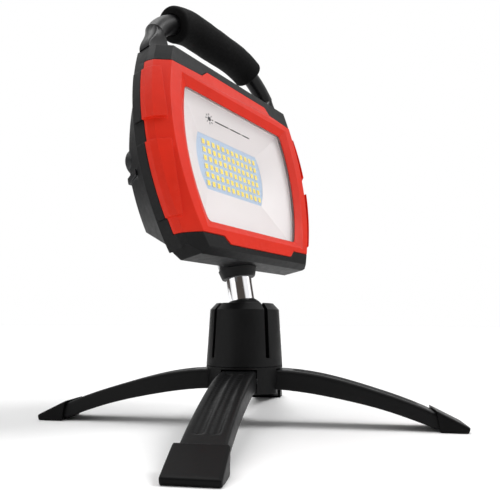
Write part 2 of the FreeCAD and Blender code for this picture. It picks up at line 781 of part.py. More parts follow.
def make_led_board():
    body = new_body("led_board", HEAD)
    sketch = sketch_on(body, "XZ_Plane", "board_outline")
    half_x, low, high = 38.0, 74.4, 118.2
    corners = [Vector(-half_x, low, 0), Vector(half_x, low, 0), Vector(half_x, high, 0), Vector(-half_x, high, 0)]
    for index in range(4):
        sketch.addGeometry(Part.LineSegment(corners[index], corners[(index + 1) % 4]))
    sketch.setExpression("AttachmentOffset.Base.z", "-sheet.board_front")
    pad(body, sketch, "sheet.board_thickness", reverse=True)


CHIP_COLUMNS = 12
CHIP_ROWS = 6


def make_chips():
    front = size("board_front")
    chips = []
    for column in range(CHIP_COLUMNS):
        x = (column - (CHIP_COLUMNS - 1) / 2) * size("chip_pitch_x")
        for row in range(CHIP_ROWS):
            z = 95.6 + (row - (CHIP_ROWS - 1) / 2) * size("chip_pitch_z")
            chips.append(block((x - 1.4, x + 1.4), (front - 0.7, front), (z - 1.75, z + 1.75)))
    feature(Part.makeCompound(chips), "led_chips", HEAD)


def make_heat_sink():
    front = size("board_front") + size("board_thickness")
    back = front + size("sink_thickness")
    solid = block((-49, 49), (front, back), (63.2, 130))
    fins = [block((x - 0.9, x + 0.9), (back - 0.5, 6.2), (90, 125)) for x in range(-42, 43, 7)]
    for fin in fins:
        solid = solid.fuse(fin)
    feature(solid, "heat_sink", HEAD)


def make_driver():
    board = block((-32, 34), (6.2, 7.8), (92, 122))
    feature(board, "driver_board", HEAD)
    parts = [
        rod(Vector(-22, 7.8, 98), Vector(-22, 13.5, 98), 4.0),
        rod(Vector(-10, 7.8, 98), Vector(-10, 13.5, 98), 4.0),
        block((2, 14), (7.8, 12.0), (94, 104)),
        block((18, 26), (7.8, 10.0), (96, 104)),
        block((-26, -14), (7.8, 9.6), (110, 116)),
        block((0, 6), (7.8, 9.2), (110, 116)),
    ]
    feature(Part.makeCompound(parts), "driver_parts", HEAD)


CELL_HEIGHTS = (60.7, 79.7)
CELL_START = -44.0
CELL_Y = 8.5


def make_cells():
    cells = []
    for height in CELL_HEIGHTS:
        start = Vector(CELL_START, CELL_Y, height)
        end = start + Vector(size("cell_length"), 0, 0)
        tip = rod(end, end + Vector(1.2, 0, 0), 2.8)
        cells.append(rod(start, end, size("cell_radius")).fuse(tip))
    feature(Part.makeCompound(cells), "battery_cells", HEAD)


def make_holder():
    """Tray with an end wall at each end of the cells."""
    end = CELL_START + size("cell_length") + 1.4
    x = (CELL_START - 2.2, end + 2.2)
    solid = block(x, (-2.7, 9.0), (51.1, 89.6))
    for height in CELL_HEIGHTS:
        start = Vector(CELL_START - 0.2, CELL_Y, height)
        solid = solid.cut(rod(start, Vector(end, CELL_Y, height), size("cell_radius") + 0.15))
    feature(solid, "battery_holder", HEAD)


def make_socket():
    x, z = PORT_SPOT
    back = size("cover_back")
    shell = block((x - 4.5, x + 4.5), (back - 7.5, back - 1.6), (z - 1.6, z + 1.6))
    mouth = block((x - 4.1, x + 4.1), (back - 6.5, back), (z - 1.2, z + 1.2))
    tongue = block((x - 3.3, x + 3.3), (back - 6.7, back - 2.6), (z - 0.35, z + 0.35))
    feature(shell.cut(mouth).fuse(tongue), "charging_socket", HEAD)


def make_port_cover():
    x, z = PORT_SPOT
    back = size("cover_back")
    flap = block((x - 8.9, x + 8.9), (back - 1.2, back + 0.7), (z - 5.9, z + 6.2))
    picked = [edge for edge in flap.Edges if runs_along(edge, Vector(0, 1, 0))]
    flap = flap.makeFillet(2.0, picked)
    bead = rod(Vector(x - 7.5, back + 0.1, z + 7.4), Vector(x + 7.5, back + 0.1, z + 7.4), 0.9)
    web = block((x - 7.5, x + 7.5), (back - 0.5, back + 0.6), (z + 5.5, z + 7.4))
    lug = block((x - 3.9, x + 3.9), (back - 1.5, back - 1.2), (z - 1.0, z + 1.0))
    feature(flap.fuse(bead).fuse(web).fuse(lug).removeSplitter(), "port_cover", HEAD)


def make_button():
    place = HEAD.multiply(button_frame())
    ring_shape = Part.makeCylinder(6.2, 6.0, Vector(0, 0, -3.0)).cut(Part.makeCylinder(4.6, 20, Vector(0, 0, -6)))
    rim = [edge for edge in ring_shape.Edges if edge.BoundBox.ZMin > 2.9]
    feature(ring_shape.makeFillet(0.45, rim), "button_ring", place)
    cap = Part.makeCylinder(4.3, 6.4, Vector(0, 0, -2.4))
    top = [edge for edge in cap.Edges if edge.BoundBox.ZMin > 3.9]
    feature(cap.makeFillet(1.4, top), "power_button", place)
    body = Part.makeCylinder(5.6, 5.6, Vector(0, 0, -8.6)).cut(Part.makeCylinder(4.6, 5, Vector(0, 0, -4.6)))
    stem = Part.makeCylinder(1.6, 0.75, Vector(0, 0, -4.6))
    feature(body.fuse(stem).removeSplitter(), "power_switch", place)


def make_leads():
    """Two leads from the end of the battery holder up to the lower edge of the driver board."""
    x = CELL_START + size("cell_length") + 3.6
    leads = [lead(x, 33.0, 62.0), lead(x, 31.0, 74.0)]
    feature(Part.makeCompound(leads), "battery_leads", HEAD)


def lead(x, turn_x, low):
    y = 7.0
    r = 2.0
    corner = Vector(turn_x - r, y, low + r)
    first = Vector(turn_x - r, y, low)
    middle = corner + Vector(r * math.cos(math.radians(45)), 0, -r * math.sin(math.radians(45)))
    last = Vector(turn_x, y, low + r)
    path = [Part.makeLine(Vector(x, y, low), first), Part.Arc(first, middle, last).toShape(),
            Part.makeLine(last, Vector(turn_x, y, 92.0))]
    return pipe(Part.Wire(path), 0.9)


def make_mark():
    """Generic printed symbol on the lens: a sun with eight short rays, and three plain bars."""
    front = size("lens_front")
    skin = (front - 0.12, front)
    x, z = MARK_SPOT
    marks = [rod(Vector(x, skin[0], z), Vector(x, skin[1], z), 1.5)]
    for index in range(8):
        ray = block((x + 2.3, x + 3.7), skin, (z - 0.3, z + 0.3))
        ray.rotate(Vector(x, front, z), Vector(0, 1, 0), 45 * index)
        marks.append(ray)
    marks += [block((x + low, x + high), skin, (z - 0.45, z + 0.45)) for low, high in MARK_BARS]
    feature(Part.makeCompound(marks), "lens_mark", HEAD)


MARK_SPOT = (-32.5, 118.4)
MARK_BARS = [(5.6, 19.0), (21.0, 32.0), (34.0, 42.0)]


# ---------------------------------------------------------------- handle

def grip_points():
    """The right half of the handle's centre line: bend centre, bend end and foot, in the head."""
    y = size("handle_plane")
    radius = size("grip_bend")
    turn = math.radians(size("grip_turn"))
    centre = Vector(size("grip_half"), y, size("grip_height") - radius)
    end = centre + Vector(radius * math.sin(turn), 0, radius * math.cos(turn))
    return centre, end


def mirrored(point):
    return Vector(-point.x, point.y, point.z)


def bend(scale):
    """Arc of the right-hand bend, over a share of its turn."""
    centre, _ = grip_points()
    radius = size("grip_bend")
    turn = math.radians(size("grip_turn")) * scale
    start = centre + Vector(0, 0, radius)
    middle = centre + Vector(radius * math.sin(turn / 2), 0, radius * math.cos(turn / 2))
    end = centre + Vector(radius * math.sin(turn), 0, radius * math.cos(turn))
    return start, middle, end


def grip_path(scale):
    start, middle, end = bend(scale)
    right = Part.Arc(start, middle, end).toShape()
    straight = Part.makeLine(mirrored(start), start)
    left = Part.Arc(mirrored(end), mirrored(middle), mirrored(start)).toShape()
    return Part.Wire([left, straight, right])


def pipe(path, radius):
    start = path.Edges[0].valueAt(path.Edges[0].FirstParameter)
    tangent = path.Edges[0].tangentAt(path.Edges[0].FirstParameter)
    section = Part.Wire([Part.makeCircle(radius, start, tangent)])
    return path.makePipeShell([section], True, False)


def blade_wire(side, z, shift, width, thickness, corner):
    """Flat section of the handle's end, with rounded corners."""
    centre = Vector(side * (size("blade_offset") - shift), size("handle_plane"), z)
    half, deep = width / 2, thickness / 2
    spots = []
    for sx, sy in [(-1, -1), (1, -1), (1, 1), (-1, 1)]:
        long_way = centre + Vector(sx * (half - corner), sy * deep, 0)
        short_way = centre + Vector(sx * half, sy * (deep - corner), 0)
        nook = 0.2929 * corner
        middle = centre + Vector(sx * (half - nook), sy * (deep - nook), 0)
        spots.append((short_way, middle, long_way) if sx * sy > 0 else (long_way, middle, short_way))
    return eight_edges(spots, None)


def ring_wire(centre, direction, radius):
    """Circle cut into eight arcs that line up with the flat section's eight edges."""
    across = Vector(0, 1, 0)
    wide = across.cross(direction).normalize()
    spots = []
    for index in range(4):
        middle = 225 + 90 * index
        spots.append([point_on(centre, wide, across, middle + step, radius) for step in (-7, 0, 7)])
    sides = [point_on(centre, wide, across, 270 + 90 * index, radius) for index in range(4)]
    return eight_edges(spots, sides)


def point_on(centre, wide, across, degrees, radius):
    angle = math.radians(degrees)
    return centre + wide * (radius * math.cos(angle)) + across * (radius * math.sin(angle))


def eight_edges(corners, sides):
    """Closed wire from four corner arcs, joined by lines, or by arcs through the given side points."""
    edges = []
    for index, (first, middle, last) in enumerate(corners):
        following = corners[(index + 1) % 4][0]
        edges.append(Part.Arc(first, middle, last).toShape())
        if sides:
            edges.append(Part.Arc(last, sides[index], following).toShape())
        else:
            edges.append(Part.makeLine(last, following))
    return Part.Wire(edges)


def handle_end(side):
    """Loft from the flat blade up into the round tube."""
    _, end = grip_points()
    turn = math.radians(size("grip_turn"))
    end = end if side > 0 else mirrored(end)
    direction = Vector(-math.cos(turn) * side, 0, math.sin(turn))
    width = size("blade_width")
    thick = size("blade_thickness")
    foot = size("head_top") + 0.02
    sections = [
        blade_wire(side, foot, 0, width, thick, 0.8),
        blade_wire(side, foot + 3.0, 0.1, width - 0.5, thick + 0.1, 1.0),
        blade_wire(side, foot + 9.5, 1.6, width - 3.4, thick + 1.6, 3.0),
        ring_wire(end, direction, size("tube_radius")),
    ]
    return Part.makeLoft(sections, True, False)


def handle_tang(side):
    """Narrow tongue under the flat end, which goes down into the housing."""
    face = Part.Face(blade_wire(side, size("tang_foot"), 0, size("tang_width"), size("tang_thickness"), 0.6))
    return face.extrude(Vector(0, 0, size("head_top") + 0.5 - size("tang_foot")))


def make_handle():
    tube = pipe(grip_path(1.0), size("tube_radius"))
    bore = pipe(grip_path(1.0), size("tube_radius") - 1.2)
    solid = tube.cut(bore)
    for side in (-1, 1):
        solid = solid.fuse(handle_end(side)).fuse(handle_tang(side))
        x = side * size("blade_offset")
        solid = solid.cut(rod(Vector(x, -20, HANDLE_BOLT), Vector(x, 20, HANDLE_BOLT), 1.65))
    feature(solid.removeSplitter(), "handle_tube", HEAD)
    foam = pipe(grip_path(size("foam_share")), size("foam_radius"))
    ends = [edge for edge in foam.Edges if edge.Curve.TypeId == "Part::GeomCircle" and at_end(edge)]
    foam = foam.makeFillet(2.5, ends)
    feature(foam.cut(pipe(grip_path(1.0), size("tube_radius") + 0.02)), "foam_grip", HEAD)


def at_end(edge):
    return abs(edge.CenterOfMass.x) > size("grip_half") + 5


def make_handle_bolts():
    bolts = []
    for side in (-1, 1):
        x = side * size("blade_offset")
        shank = rod(Vector(x, -14.0, HANDLE_BOLT), Vector(x, -3.6, HANDLE_BOLT), 1.6)
        head = rod(Vector(x, -3.6, HANDLE_BOLT), Vector(x, -1.6, HANDLE_BOLT), 2.5)
        bolts.append(shank.fuse(head))
    feature(Part.makeCompound(bolts), "handle_bolts", HEAD)


# ---------------------------------------------------------------- build

def make_all():
    make_hub()
    make_hinge_pins()
    make_collar()
    make_collar_screws()
    make_bottom_plate()
    make_spring_washer()
    make_ball_seat()
    make_ball()
    make_legs()
    make_post()
    make_post_bolt()
    make_neck()
    shell = faceted_block()
    make_bezel(shell)
    make_housing(shell)
    make_bezel_screws()
    make_rear_cover()
    make_cover_screws()
    make_seals()
    make_lens()
    make_mark()
    make_reflector()
    make_led_board()
    make_chips()
    make_heat_sink()
    make_driver()
    make_cells()
    make_holder()
    make_leads()
    make_socket()
    make_port_cover()
    make_button()
    make_handle()
    make_handle_bolts()


def check_document():
    doc.recompute()
    for item in doc.Objects:
        faults = [state for state in item.State if state in ("Invalid", "Error")]
        if faults:
            raise RuntimeError(f"{item.Label} is {faults}")
    for node in nodes:
        if node.Shape.isNull() or not node.Shape.isValid() or not node.Shape.Solids:
            raise RuntimeError(f"{node.Label} has no valid solid")


def export_nodes():
    os.makedirs("parts", exist_ok=True)
    for node in nodes:
        node.Shape.exportStep(f"parts/{node.Label}.step")
        bounds = node.Shape.BoundBox
        print(node.Label, len(node.Shape.Solids), round(node.Shape.Volume),
              [round(v, 1) for v in (bounds.XMin, bounds.XMax, bounds.YMin, bounds.YMax, bounds.ZMin, bounds.ZMax)])


make_all()
check_document()
export_nodes()
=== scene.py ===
import json
import math

import bmesh
import bpy
from mathutils import Matrix, Vector, noise


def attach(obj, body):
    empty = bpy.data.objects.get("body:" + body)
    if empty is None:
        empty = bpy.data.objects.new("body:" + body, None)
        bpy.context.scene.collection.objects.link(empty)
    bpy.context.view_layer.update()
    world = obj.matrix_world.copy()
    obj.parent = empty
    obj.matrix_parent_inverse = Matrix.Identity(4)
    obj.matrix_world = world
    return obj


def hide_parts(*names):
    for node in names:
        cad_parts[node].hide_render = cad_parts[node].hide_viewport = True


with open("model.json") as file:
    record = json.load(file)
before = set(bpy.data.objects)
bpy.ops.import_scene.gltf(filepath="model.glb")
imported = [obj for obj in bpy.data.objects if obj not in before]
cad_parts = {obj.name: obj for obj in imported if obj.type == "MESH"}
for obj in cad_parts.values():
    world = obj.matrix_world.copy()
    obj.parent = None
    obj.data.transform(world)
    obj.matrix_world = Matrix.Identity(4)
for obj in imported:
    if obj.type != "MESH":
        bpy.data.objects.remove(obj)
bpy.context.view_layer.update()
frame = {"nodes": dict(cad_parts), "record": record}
NODES = frame["nodes"]
BODY = {node: body for body, nodes in frame["record"]["behaviour"]["bodies"].items() for node in nodes}
SLOT = {part["node"]: part["material_slot"] for part in frame["record"]["subparts"]}
MM = 0.001


# ---------------------------------------------------------------- materials

class Build:
    """Small helper for a material's node tree; sizes are in metres."""

    def __init__(self, name):
        self.material = bpy.data.materials.new(name)
        self.material.use_nodes = True
        self.tree = self.material.node_tree
        self.shader = self.tree.nodes["Principled BSDF"]
        self.coords = self.tree.nodes.new("ShaderNodeTexCoord").outputs["Object"]

    def node(self, kind, **values):
        made = self.tree.nodes.new(kind)
        for name, value in values.items():
            made.inputs[name.replace("_", " ")].default_value = value
        return made

    def link(self, output, target):
        self.tree.links.new(output, target)

    def noise(self, size, detail=2.0, rough=0.5):
        made = self.node("ShaderNodeTexNoise", Scale=1 / size, Detail=detail, Roughness=rough)
        self.link(self.coords, made.inputs["Vector"])
        return made.outputs["Fac"]

    def cells(self, size):
        made = self.node("ShaderNodeTexVoronoi", Scale=1 / size)
        self.link(self.coords, made.inputs["Vector"])
        return made.outputs["Distance"]

    def span(self, value, low, high, from_low=0.3, from_high=0.7):
        made = self.tree.nodes.new("ShaderNodeMapRange")
        made.inputs["From Min"].default_value = from_low
        made.inputs["From Max"].default_value = from_high
        made.inputs["To Min"].default_value = low
        made.inputs["To Max"].default_value = high
        self.link(value, made.inputs["Value"])
        return made.outputs["Result"]

    def blend(self, factor, first, second):
        made = self.tree.nodes.new("ShaderNodeMix")
        made.data_type = "RGBA"
        self.link(factor, made.inputs[0])
        for socket, value in ((made.inputs[6], first), (made.inputs[7], second)):
            if isinstance(value, tuple):
                socket.default_value = (*value, 1.0)
            else:
                self.link(value, socket)
        return made.outputs[2]

    def edges(self, low=0.52, high=0.6):
        geometry = self.tree.nodes.new("ShaderNodeNewGeometry")
        return self.span(geometry.outputs["Pointiness"], 0.0, 1.0, low, high)

    def bump(self, height, strength, distance, under=None):
        made = self.node("ShaderNodeBump", Strength=strength, Distance=distance)
        self.link(height, made.inputs["Height"])
        if under is not None:
            self.link(under, made.inputs["Normal"])
        return made.outputs["Normal"]


def moulded(name, color, worn_and_lit_tone, roughness, grain, depth, specular=0.5, wear_and_highlight=0.5, spread=0.08):
    """Moulded plastic or rubber: fine spark-eroded grain, slight colour drift, paler convex edges that are part wear
    and part painted highlight.
    """
    b = Build(name)
    darker = tuple(c * (1 - spread) for c in color)
    lighter = tuple(c * (1 + spread) for c in color)
    tone = b.blend(b.span(b.noise(18 * MM, 3.0), 0.0, 1.0), darker, lighter)
    scuffs_and_highlight = b.span(b.noise(2.2 * MM, 4.0, 0.7), 0.0, wear_and_highlight, 0.45, 0.75)
    # paler convex edges: part rubbed wear, part painted highlight standing in for the sheen along edges
    rubbed_and_highlit = b.tree.nodes.new("ShaderNodeMath")
    rubbed_and_highlit.operation = "MULTIPLY"
    b.link(b.edges(), rubbed_and_highlit.inputs[0])
    b.link(scuffs_and_highlight, rubbed_and_highlit.inputs[1])
    b.link(b.blend(rubbed_and_highlit.outputs[0], tone, worn_and_lit_tone), b.shader.inputs["Base Color"])
    gloss = b.span(b.noise(4 * MM, 4.0, 0.6), roughness - 0.05, roughness + 0.07)
    b.link(gloss, b.shader.inputs["Roughness"])
    coarse = b.bump(b.noise(grain * 3, 2.0), 0.25, depth * 2)
    b.link(b.bump(b.noise(grain, 3.0, 0.6), 0.6, depth, coarse), b.shader.inputs["Normal"])
    b.shader.inputs["Specular IOR Level"].default_value = specular
    return b.material


def metal(name, color, roughness, along=(1.0, 1.0, 1.0), depth=0.004 * MM, size=1.2 * MM):
    """Bare or plated metal with faint directional marks and smudges."""
    b = Build(name)
    stretch = b.node("ShaderNodeMapping", Scale=along)
    b.link(b.coords, stretch.inputs["Vector"])
    marks = b.node("ShaderNodeTexNoise", Scale=1 / size, Detail=4.0, Roughness=0.6)
    b.link(stretch.outputs["Vector"], marks.inputs["Vector"])
    smudge = b.noise(9 * MM, 3.0)
    dull = tuple(c * 0.9 for c in color)
    b.link(b.blend(b.span(smudge, 0.0, 1.0), color, dull), b.shader.inputs["Base Color"])
    b.link(b.span(marks.outputs["Fac"], roughness * 0.7, roughness * 1.4), b.shader.inputs["Roughness"])
    b.link(b.bump(marks.outputs["Fac"], 0.3, depth), b.shader.inputs["Normal"])
    b.shader.inputs["Metallic"].default_value = 1.0
    return b.material


def foam_material():
    b = Build("foam")
    pores = b.cells(0.55 * MM)
    tone = b.blend(b.span(b.noise(7 * MM, 4.0), 0.0, 1.0), (0.002, 0.002, 0.0022), (0.004, 0.004, 0.0044))
    # darker pore centres: painted shade in the pore hollows
    b.link(b.blend(b.span(pores, 0.0, 0.6, 0.0, 0.6), (0.002, 0.002, 0.002), tone), b.shader.inputs["Base Color"])
    b.link(b.span(b.noise(1.5 * MM, 3.0), 0.72, 0.9), b.shader.inputs["Roughness"])
    skin = b.bump(b.noise(1.6 * MM, 4.0, 0.6), 0.35, 0.12 * MM)
    b.link(b.bump(pores, 0.5, 0.1 * MM, skin), b.shader.inputs["Normal"])
    b.shader.inputs["Specular IOR Level"].default_value = 0.1
    b.shader.inputs["Sheen Weight"].default_value = 0.01
    b.shader.inputs["Sheen Roughness"].default_value = 0.4
    return b.material


def glass_material():
    b = Build("clear_glass")
    b.link(b.span(b.noise(12 * MM, 3.0), 0.015, 0.05), b.shader.inputs["Roughness"])
    b.link(b.blend(b.noise(30 * MM), (0.93, 0.96, 0.97), (0.97, 0.98, 0.98)), b.shader.inputs["Base Color"])
    b.shader.inputs["IOR"].default_value = 1.5
    b.shader.inputs["Alpha"].default_value = 0.07
    return b.material


def chip_material():
    b = Build("chip_yellow")
    tone = b.blend(b.span(b.noise(0.6 * MM, 2.0), 0.0, 1.0), (0.92, 0.66, 0.004), (0.97, 0.76, 0.015))
    b.link(tone, b.shader.inputs["Base Color"])
    # slight emission: painted glow that brightens the unlit phosphor
    b.link(tone, b.shader.inputs["Emission Color"])
    b.shader.inputs["Emission Strength"].default_value = 0.1
    b.link(b.span(b.noise(0.4 * MM, 2.0), 0.25, 0.4), b.shader.inputs["Roughness"])
    b.link(b.bump(b.noise(0.25 * MM, 3.0), 0.4, 0.03 * MM), b.shader.inputs["Normal"])
    return b.material


def board_material(name, color, dark):
    """Solder mask with faint tracks under it."""
    b = Build(name)
    tracks = b.node("ShaderNodeTexBrick", Scale=160.0, Mortar_Size=0.02, Bias=0.0)
    b.link(b.coords, tracks.inputs["Vector"])
    tone = b.blend(b.span(b.noise(8 * MM, 2.0), 0.0, 1.0), color, tuple(c * 0.94 for c in color))
    faint = b.span(tracks.outputs["Fac"], 0.0, 0.22, 0.0, 1.0)
    b.link(b.blend(faint, tone, dark), b.shader.inputs["Base Color"])
    b.link(b.span(b.noise(2 * MM, 3.0), 0.32, 0.5), b.shader.inputs["Roughness"])
    b.link(b.bump(b.noise(0.5 * MM, 3.0), 0.3, 0.01 * MM), b.shader.inputs["Normal"])
    return b.material


MATERIALS = {
    "red_plastic": moulded("red_plastic", (0.66, 0.021, 0.006), (0.74, 0.08, 0.05), 0.47, 0.42 * MM, 0.03 * MM,
                           specular=0.2, wear_and_highlight=0.4, spread=0.05),
    "black_plastic": moulded("black_plastic", (0.0055, 0.0056, 0.0059), (0.05, 0.05, 0.051), 0.46, 0.5 * MM,
                             0.05 * MM, specular=0.16, wear_and_highlight=0.35, spread=0.15),
    "grey_plastic": moulded("grey_plastic", (0.013, 0.0138, 0.0148), (0.06, 0.06, 0.064), 0.42, 0.5 * MM,
                            0.045 * MM, specular=0.22, wear_and_highlight=0.35, spread=0.15),
    "leg_plastic": moulded("leg_plastic", (0.0038, 0.0039, 0.0041), (0.04, 0.04, 0.04), 0.42, 0.5 * MM, 0.05 * MM,
                           specular=0.14, wear_and_highlight=0.35, spread=0.15),
    "rubber": moulded("rubber", (0.003, 0.003, 0.0032), (0.02, 0.02, 0.02), 0.40, 0.9 * MM, 0.04 * MM,
                      specular=0.09, wear_and_highlight=0.3, spread=0.2),
    "foam": foam_material(),
    "chrome": metal("chrome", (0.90, 0.90, 0.92), 0.05, (1.0, 1.0, 0.08), 0.002 * MM, 0.8 * MM),
    "steel": metal("steel", (0.56, 0.57, 0.58), 0.28),
    "aluminium": metal("aluminium", (0.74, 0.75, 0.76), 0.35, (1.0, 1.0, 0.05)),
    "clear_glass": glass_material(),
    "reflector_white": moulded("reflector_white", (0.80, 0.75, 0.75), (0.83, 0.80, 0.80), 0.33, 0.5 * MM, 0.012 * MM,
                               wear_and_highlight=0.1, spread=0.02),
    "board_blue": board_material("board_blue", (0.46, 0.60, 0.80), (0.36, 0.48, 0.68)),
    "board_green": board_material("board_green", (0.03, 0.2, 0.08), (0.02, 0.12, 0.05)),
    "chip_yellow": chip_material(),
    "chip_frame": moulded("chip_frame", (0.86, 0.85, 0.74), (0.9, 0.9, 0.86), 0.4, 0.3 * MM, 0.008 * MM, wear_and_highlight=0.1,
                          spread=0.03),
    "cell_wrap": moulded("cell_wrap", (0.05, 0.2, 0.45), (0.3, 0.4, 0.5), 0.3, 1.0 * MM, 0.02 * MM),
    "handle_paint": moulded("handle_paint", (0.004, 0.004, 0.0045), (0.09, 0.09, 0.095), 0.34, 0.8 * MM, 0.002 * MM,
                            specular=0.2, wear_and_highlight=0.04, spread=0.1),
    "silicone": moulded("silicone", (0.72, 0.68, 0.68), (0.78, 0.76, 0.76), 0.45, 0.6 * MM, 0.01 * MM, wear_and_highlight=0.1,
                        spread=0.03),
    "mark_ink": moulded("mark_ink", (0.012, 0.012, 0.013), (0.02, 0.02, 0.02), 0.5, 0.3 * MM, 0.01 * MM),
}


def paint(obj, slot):
    obj.data.materials.clear()
    obj.data.materials.append(MATERIALS[slot])


# ---------------------------------------------------------------- softened edges

WELD = 2e-6                        # metres; CAD vertices closer than this are one vertex
FLAT_ANGLE = math.radians(0.4)     # faces that meet flatter than this are one face
BEVEL_ANGLE = math.radians(28.0)   # edges sharper than this are rounded
SMOOTH_ANGLE = math.radians(14.0)  # edges flatter than this are shaded smooth
BEVEL_SEGMENTS = 2
INSET = 0.15 * MM                  # how far a remeshed piece is drawn in


def added(name, mesh):
    piece = bpy.data.objects.new(name, mesh)
    bpy.context.scene.collection.objects.link(piece)
    return piece


def stand_in(piece, node):
    """Paints a new piece like the CAD node that it replaces, and rides it on the same body."""
    paint(piece, SLOT[node])
    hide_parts(node)
    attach(piece, BODY[node])


def softened(node, width, clamp=False):
    """A copy of a CAD node with its sharp moulded edges rounded, which stands for it."""
    mesh = NODES[node].data.copy()
    b = bmesh.new()
    b.from_mesh(mesh)
    bmesh.ops.remove_doubles(b, verts=b.verts, dist=WELD)
    bmesh.ops.dissolve_limit(b, angle_limit=FLAT_ANGLE, verts=b.verts, edges=b.edges)
    for face in b.faces:
        face.smooth = True
    for edge in b.edges:
        edge.smooth = edge.calc_face_angle(0.0) < SMOOTH_ANGLE
    b.to_mesh(mesh)
    b.free()
    piece = added(node + "_soft", mesh)
    bevel = piece.modifiers.new("round", "BEVEL")
    bevel.width = width
    bevel.segments = BEVEL_SEGMENTS
    bevel.limit_method = "ANGLE"
    bevel.angle_limit = BEVEL_ANGLE
    bevel.use_clamp_overlap = clamp
    bevel.harden_normals = True
    bevel.miter_outer = "MITER_ARC"
    stand_in(piece, node)


def rounded_off(node, voxel, passes):
    """A copy of a CAD node with the well-rounded corners of a thick moulding, which stands for it."""
    piece = added(node + "_soft", NODES[node].data.copy())
    weld = piece.modifiers.new("weld", "WELD")
    weld.merge_threshold = WELD
    remesh = piece.modifiers.new("remesh", "REMESH")
    remesh.mode = "VOXEL"
    remesh.voxel_size = voxel * MM
    remesh.use_smooth_shade = True
    smooth = piece.modifiers.new("smooth", "SMOOTH")
    smooth.factor = 0.5
    smooth.iterations = passes
    inset = piece.modifiers.new("inset", "DISPLACE")
    inset.strength = -INSET
    inset.mid_level = 0.0
    stand_in(piece, node)


# Bevel widths in millimetres; the second group has edges so close that the bevel has to be clamped.
SOFT_EDGES = {
    "front_bezel": 0.3, "main_housing": 0.45, "rear_cover": 0.3,
    "neck_collar": 0.3, "port_cover": 0.3,
}
CLAMPED_EDGES = {"socket_collar": 0.5, "hub_body": 0.35}
LEG_SIDES = ["front", "right", "rear", "left"]
LEG_VOXEL, LEG_PASSES = 0.6, 16
CAP_VOXEL, CAP_PASSES = 0.5, 10


# ---------------------------------------------------------------- grip and chips

TILT = Matrix.Translation((0.0, 0.0, 62.4 * MM)) @ Matrix.Rotation(math.radians(-10.69), 4, "X")
GRIP_Y = -7.5
GRIP_HEIGHT = 191.5
GRIP_HALF = 19.6
GRIP_BEND = 48.6
GRIP_TURN = math.radians(0.51 * 56.0)  # the foam covers that share of each side's bend
FOAM_RADIUS = 11.4
TUBE_RADIUS = 6.03
LIP_RADIUS = 7.4      # where the foam's end closes down on the tube
LIP_REACH = 0.25
ROLL = 2.6            # radius of the rolled ends
ROLL_STEPS = 5
ALONG = 80            # stations along the outside, and along the bore
BORE_ALONG = 24
AROUND = 56


def grip_station(distance):
    """Point on the grip's centre line, that far from its middle, and the outward direction there."""
    reach = abs(distance)
    side = math.copysign(1.0, distance)
    angle = max(0.0, reach - GRIP_HALF) / GRIP_BEND
    x = side * (min(reach, GRIP_HALF) + GRIP_BEND * math.sin(angle))
    z = GRIP_HEIGHT - GRIP_BEND * (1 - math.cos(angle))
    return Vector((x, GRIP_Y, z)), Vector((side * math.sin(angle), 0.0, math.cos(angle)))


def foam_profile(half):
    """(distance, radius) stations round the grip's skin: one end, the outside, the other end, the bore."""
    end = [(half, TUBE_RADIUS), (half + LIP_REACH, LIP_RADIUS)]
    for step in range(ROLL_STEPS + 1):
        angle = math.radians(90.0 * step / ROLL_STEPS)
        end.append((half - ROLL * (1 - math.cos(angle)),
                    FOAM_RADIUS - ROLL * (1 - math.sin(angle))))
    inner = half - ROLL
    outside = [(inner - 2 * inner * step / ALONG, FOAM_RADIUS) for step in range(1, ALONG)]
    far_end = [(-distance, radius) for distance, radius in reversed(end)]
    bore = [(-half + 2 * half * step / BORE_ALONG, TUBE_RADIUS) for step in range(1, BORE_ALONG)]
    return end + outside + far_end + bore


def make_foam():
    """Moulded foam sleeve: a full, slightly uneven tube with rolled ends, closed down on the handle."""
    half = GRIP_HALF + GRIP_BEND * GRIP_TURN - LIP_REACH
    b = bmesh.new()
    rings = []
    for distance, radius in foam_profile(half):
        centre, out = grip_station(distance)
        ring = []
        for index in range(AROUND):
            angle = math.tau * index / AROUND
            direction = out * math.cos(angle) + Vector((0.0, 1.0, 0.0)) * math.sin(angle)
            point = centre + direction * radius
            if radius >= LIP_RADIUS:
                dent = noise.noise(point * 0.11) * 0.22 + noise.noise(point * 0.5) * 0.06 - 0.2
                point += direction * dent
            ring.append(b.verts.new(TILT @ (point * MM)))
        rings.append(ring)
    for index, ring in enumerate(rings):
        following = rings[(index + 1) % len(rings)]
        for place in range(AROUND):
            after = (place + 1) % AROUND
            b.faces.new((ring[place], ring[after], following[after], following[place]))
    bmesh.ops.recalc_face_normals(b, faces=b.faces)
    for face in b.faces:
        face.smooth = True
    mesh = bpy.data.meshes.new("grip_sleeve")
    b.to_mesh(mesh)
    b.free()
    piece = added("grip_sleeve", mesh)
    stand_in(piece, "foam_grip")


FRAME_WIDTH = 0.2 * MM
WINDOW_DEPTH = 0.06 * MM


def make_chips():
    """Chips with a pale package frame round each yellow phosphor window."""
    mesh = NODES["led_chips"].data.copy()
    forward = TILT.to_3x3() @ Vector((0.0, -1.0, 0.0))
    b = bmesh.new()
    b.from_mesh(mesh)
    bmesh.ops.remove_doubles(b, verts=b.verts, dist=WELD)
    bmesh.ops.dissolve_limit(b, angle_limit=math.radians(1.0), verts=b.verts, edges=b.edges)
    b.normal_update()
    fronts = [face for face in b.faces if face.normal.dot(forward) > 0.9]
    bmesh.ops.inset_individual(b, faces=fronts, thickness=FRAME_WIDTH, depth=-WINDOW_DEPTH)
    for face in b.faces:
        face.smooth = False
    for face in fronts:
        face.material_index = 1
    mesh.materials.clear()
    mesh.materials.append(MATERIALS["chip_frame"])
    mesh.materials.append(MATERIALS["chip_yellow"])
    b.to_mesh(mesh)
    b.free()
    piece = added("chip_array", mesh)
    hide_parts("led_chips")
    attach(piece, BODY["led_chips"])


